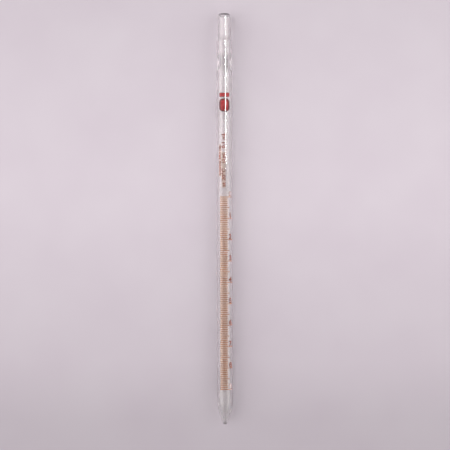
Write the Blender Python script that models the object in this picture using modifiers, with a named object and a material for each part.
"""A graduated glass measuring pipette, 10 mL in tenths, lying on its side.

Metres, +Z up. The tube runs along X with its mouth at +X and its jet at -X, and its
scale faces +Z. The pieces are first made standing on the jet, with the scale facing -Y,
as the pipette is held in use. An empty then lays them all down together.
"""

import math

import bmesh
import bpy
from mathutils import Vector

MM = 0.001
ML = 1e-6

# The tube, as drawn from one length of glass
LENGTH = 310.0 * MM
BODY_RADIUS = 5.75 * MM
BORE_RADIUS = 4.45 * MM
FACETS = 32

# The jet at the lower end: a blunt ogive outside, a drawn-down bore inside
JET_LENGTH = 20.5 * MM
JET_BLUNTNESS = 1.9
TIP_RADIUS = 1.43 * MM
ORIFICE_RADIUS = 0.65 * MM
BORE_TAPER_LENGTH = 18.4 * MM
JET_STATIONS = 9

# The waist that stops a cotton plug from sliding down
WAIST_HEIGHT = 273.5 * MM
WAIST_HALF_LENGTH = 7.0 * MM
WAIST_BORE_RADIUS = 2.5 * MM
WAIST_DIP = 0.25 * MM
WAIST_STATIONS = 8

# The narrower mouthpiece, on which a pipette filler seats, and its fire-polished lip
SHOULDER_START = 287.5 * MM
SHOULDER_END = 293.5 * MM
SHOULDER_STATIONS = 4
MOUTH_RADIUS = 4.95 * MM
MOUTH_BORE_RADIUS = 3.65 * MM
LIP_START = 306.8 * MM
LIP_OUTER_FLAT = 3.6 * MM
LIP_BORE_RADIUS = 2.95 * MM
LIP_STATIONS = 5

# The fired-on marks, as thin skins that clear the facets of the glass
MARK_GAP = 0.06 * MM
MARK_THICKNESS = 0.12 * MM
SLICE = 0.6 * MM
CAPACITY_ML = 10
LINE_WIDTH = 0.36 * MM
LINE_START = math.radians(-36.5)
HALF_LINE_END = math.radians(39.0)
WHOLE_LINE_END = math.radians(96.0)

NUMERAL_HEIGHT = 3.9 * MM
NUMERAL_WIDENING = 1.15
NUMERAL_LIFT = 0.45 * MM
NUMERAL_ANGLE = math.radians(46.0)

RED_HALF_ANGLE = math.radians(41.0)
RED_CORNER = 0.9 * MM
RED_PATCH_HEIGHTS = (235.7 * MM, 245.5 * MM)
RED_BAR_HEIGHTS = (246.6 * MM, 250.0 * MM)

FACET_HALF_ANGLE = math.pi / FACETS
# Each facet touches the round tube from outside, so its corners stand a little proud.
CORNER_FACTOR = 1 / math.cos(FACET_HALF_ANGLE)
MARK_RADIUS = BODY_RADIUS * CORNER_FACTOR + MARK_GAP


def smoothstep(t):
    t = min(max(t, 0.0), 1.0)
    return t * t * (3 - 2 * t)


def blend(low, high, share):
    return low + (high - low) * share


def waist_share(height):
    """1 at the middle of the waist, falling to 0 at both its ends."""
    away = min(abs(height - WAIST_HEIGHT) / WAIST_HALF_LENGTH, 1.0)
    return 0.5 * (1 + math.cos(math.pi * away))


def shoulder_share(height):
    return smoothstep((height - SHOULDER_START) / (SHOULDER_END - SHOULDER_START))


def outer_radius(height):
    if height < JET_LENGTH:
        rise = 1 - (1 - height / JET_LENGTH) ** JET_BLUNTNESS
        return blend(TIP_RADIUS, BODY_RADIUS, rise)
    if height > LIP_START:
        along = (height - LIP_START) / (LENGTH - LIP_START)
        return blend(LIP_OUTER_FLAT, MOUTH_RADIUS, math.sqrt(max(1 - along * along, 0)))
    radius = blend(BODY_RADIUS, MOUTH_RADIUS, shoulder_share(height))
    return radius - WAIST_DIP * waist_share(height)


def bore_radius(height):
    if height < BORE_TAPER_LENGTH:
        return blend(ORIFICE_RADIUS, BORE_RADIUS, smoothstep(height / BORE_TAPER_LENGTH))
    if height > LIP_START:
        along = (height - LIP_START) / (LENGTH - LIP_START)
        return blend(MOUTH_BORE_RADIUS, LIP_BORE_RADIUS, smoothstep(along))
    radius = blend(BORE_RADIUS, MOUTH_BORE_RADIUS, shoulder_share(height))
    return blend(radius, WAIST_BORE_RADIUS, waist_share(height))


def stations(low, high, count):
    return [blend(low, high, i / count) for i in range(count + 1)]


def tube_heights(jet_end):
    """Heights up the tube at which its section changes."""
    waist_low = WAIST_HEIGHT - WAIST_HALF_LENGTH
    waist_high = WAIST_HEIGHT + WAIST_HALF_LENGTH
    return (
        stations(0, jet_end, JET_STATIONS)
        + stations(waist_low, waist_high, WAIST_STATIONS)
        + stations(SHOULDER_START, SHOULDER_END, SHOULDER_STATIONS)
        + stations(LIP_START, LENGTH, LIP_STATIONS)
    )


def line_height(millilitres):
    """Height of the line that reads this volume drawn off, with the last mL in the jet."""
    slices = 400
    step = BORE_TAPER_LENGTH / slices
    in_taper = sum(
        math.pi * bore_radius((i + 0.5) * step) ** 2 * step for i in range(slices)
    )
    left = (CAPACITY_ML - millilitres) * ML - in_taper
    return BORE_TAPER_LENGTH + left / (math.pi * BORE_RADIUS**2)


def clear_scene():
    for old in list(bpy.data.objects):
        bpy.data.objects.remove(old, do_unlink=True)
    for old in list(bpy.data.collections):
        bpy.data.collections.remove(old)


def make_material(name, colour, roughness, transmission, ior):
    material = bpy.data.materials.new(name)
    material.use_nodes = True
    shader = material.node_tree.nodes["Principled BSDF"]
    shader.inputs["Base Color"].default_value = (*colour, 1.0)
    shader.inputs["Roughness"].default_value = roughness
    shader.inputs["Metallic"].default_value = 0.0
    shader.inputs["Transmission Weight"].default_value = transmission
    shader.inputs["IOR"].default_value = ior
    material.diffuse_color = (*colour, 1.0)
    return material


def add_object(name, mesh, material, parts, laid_down):
    mesh.materials.append(material)
    obj = bpy.data.objects.new(name, mesh)
    parts.objects.link(obj)
    obj.parent = laid_down
    return obj


def glass_tube_mesh():
    """The closed section of the wall: down the outside, then up the bore."""
    outside = [(outer_radius(h), h) for h in reversed(tube_heights(JET_LENGTH))]
    bore = [(bore_radius(h), h) for h in tube_heights(BORE_TAPER_LENGTH)]
    section = bmesh.new()
    points = [
        section.verts.new((radius * CORNER_FACTOR, 0, height))
        for radius, height in outside + bore
    ]
    for i, point in enumerate(points):
        section.edges.new((point, points[(i + 1) % len(points)]))
    mesh = bpy.data.meshes.new("glass_tube")
    section.to_mesh(mesh)
    section.free()
    return mesh


def add_glass_tube(material, parts, laid_down):
    tube = add_object("glass_tube", glass_tube_mesh(), material, parts, laid_down)
    # A facet, and not a corner, faces the table once the tube is laid down.
    tube.rotation_euler.z = FACET_HALF_ANGLE
    turned = tube.modifiers.new("Turned", "SCREW")
    turned.axis = "Z"
    turned.steps = FACETS
    turned.render_steps = FACETS
    turned.use_merge_vertices = True
    turned.merge_threshold = 1e-6
    turned.use_smooth_shade = True
    return tube


def slice_across(bm):
    """Cuts a flat mark into narrow strips, so that it can follow the tube."""
    across = [v.co.x for v in bm.verts]
    first = math.ceil(min(across) / SLICE)
    last = math.floor(max(across) / SLICE)
    for i in range(first, last + 1):
        geometry = bm.verts[:] + bm.edges[:] + bm.faces[:]
        bmesh.ops.bisect_plane(
            bm, geom=geometry, dist=1e-7, plane_co=(i * SLICE, 0, 0), plane_no=(1, 0, 0)
        )


def wrap_on_tube(bm):
    """Turns (to the right, up, outwards) into a place on the tube's front."""
    for vert in bm.verts:
        angle = vert.co.x / MARK_RADIUS
        radius = MARK_RADIUS + vert.co.z
        height = vert.co.y
        vert.co = Vector((radius * math.sin(angle), -radius * math.cos(angle), height))


def mark_mesh(name, bm):
    slice_across(bm)
    wrap_on_tube(bm)
    mesh = bpy.data.meshes.new(name)
    bm.to_mesh(mesh)
    bm.free()
    mesh.shade_smooth()
    mesh.set_sharp_from_angle(angle=math.radians(40))
    return mesh


def band_mesh(name, start, end, low, high, corner=0.0):
    """A mark that is a plain rectangle when unrolled, with its corners rounded."""
    size = Vector(((end - start) * MARK_RADIUS, high - low, MARK_THICKNESS))
    centre = Vector(((start + end) / 2 * MARK_RADIUS, (low + high) / 2, MARK_THICKNESS / 2))
    bm = bmesh.new()
    bmesh.ops.create_cube(bm, size=1.0)
    bmesh.ops.scale(bm, vec=size, verts=bm.verts)
    bmesh.ops.translate(bm, vec=centre, verts=bm.verts)
    if corner:
        upright = [e for e in bm.edges if abs(e.verts[0].co.z - e.verts[1].co.z) > 1e-6]
        bmesh.ops.bevel(
            bm, geom=upright, offset=corner, segments=4, profile=0.5, affect="EDGES"
        )
    return mark_mesh(name, bm)


def numeral_mesh(name, numeral, height):
    """A figure cut from a plain sans-serif face, standing just above its line."""
    curve = bpy.data.curves.new(name, "FONT")
    curve.body = str(numeral)
    curve.extrude = 0.5
    curve.resolution_u = 2
    text = bpy.data.objects.new(name + "_outline", curve)
    bpy.context.scene.collection.objects.link(text)
    graph = bpy.context.evaluated_depsgraph_get()
    flat = bpy.data.meshes.new_from_object(text.evaluated_get(graph))
    bm = bmesh.new()
    bm.from_mesh(flat)
    bpy.data.objects.remove(text, do_unlink=True)
    bpy.data.curves.remove(curve)
    bpy.data.meshes.remove(flat)
    bmesh.ops.remove_doubles(bm, verts=bm.verts, dist=1e-5)
    xs = [v.co.x for v in bm.verts]
    ys = [v.co.y for v in bm.verts]
    scale = NUMERAL_HEIGHT / (max(ys) - min(ys))
    centre = Vector((-(min(xs) + max(xs)) / 2, -min(ys), 0.5))
    bmesh.ops.translate(bm, vec=centre, verts=bm.verts)
    size = (scale * NUMERAL_WIDENING, scale, MARK_THICKNESS)
    bmesh.ops.scale(bm, vec=size, verts=bm.verts)
    place = Vector((NUMERAL_ANGLE * MARK_RADIUS, height + NUMERAL_LIFT, 0))
    bmesh.ops.translate(bm, vec=place, verts=bm.verts)
    return mark_mesh(name, bm)


def add_scale(material, parts, laid_down):
    """A line and a figure at each mL from 0 to 9, and a shorter line at each half."""
    for half in range(2 * CAPACITY_ML - 1):
        whole = half % 2 == 0
        height = line_height(half / 2)
        name = f"line_{half // 2}_mL" if whole else f"line_{half // 2}_5_mL"
        end = WHOLE_LINE_END if whole else HALF_LINE_END
        low = height - LINE_WIDTH / 2
        high = height + LINE_WIDTH / 2
        add_object(name, band_mesh(name, LINE_START, end, low, high), material, parts, laid_down)
        if whole:
            name = f"numeral_{half // 2}"
            add_object(name, numeral_mesh(name, half // 2, height), material, parts, laid_down)


def add_red_marks(material, parts, laid_down):
    for name, heights in (("red_bar", RED_BAR_HEIGHTS), ("red_patch", RED_PATCH_HEIGHTS)):
        mesh = band_mesh(name, -RED_HALF_ANGLE, RED_HALF_ANGLE, *heights, corner=RED_CORNER)
        add_object(name, mesh, material, parts, laid_down)


def main():
    clear_scene()
    parts = bpy.data.collections.new("graduated_pipette")
    bpy.context.scene.collection.children.link(parts)

    laid_down = bpy.data.objects.new("laid_down", None)
    parts.objects.link(laid_down)
    laid_down.location = (-LENGTH / 2, 0, BODY_RADIUS)
    laid_down.rotation_euler = (math.radians(-90), 0, math.radians(-90))

    glass = make_material("borosilicate_glass", (0.93, 0.95, 0.94), 0.02, 1.0, 1.474)
    stain = make_material("amber_stain", (0.32, 0.08, 0.025), 0.3, 0.0, 1.5)
    red = make_material("red_enamel", (0.36, 0.012, 0.02), 0.25, 0.0, 1.5)

    add_glass_tube(glass, parts, laid_down)
    add_red_marks(red, parts, laid_down)
    add_scale(stain, parts, laid_down)


main()
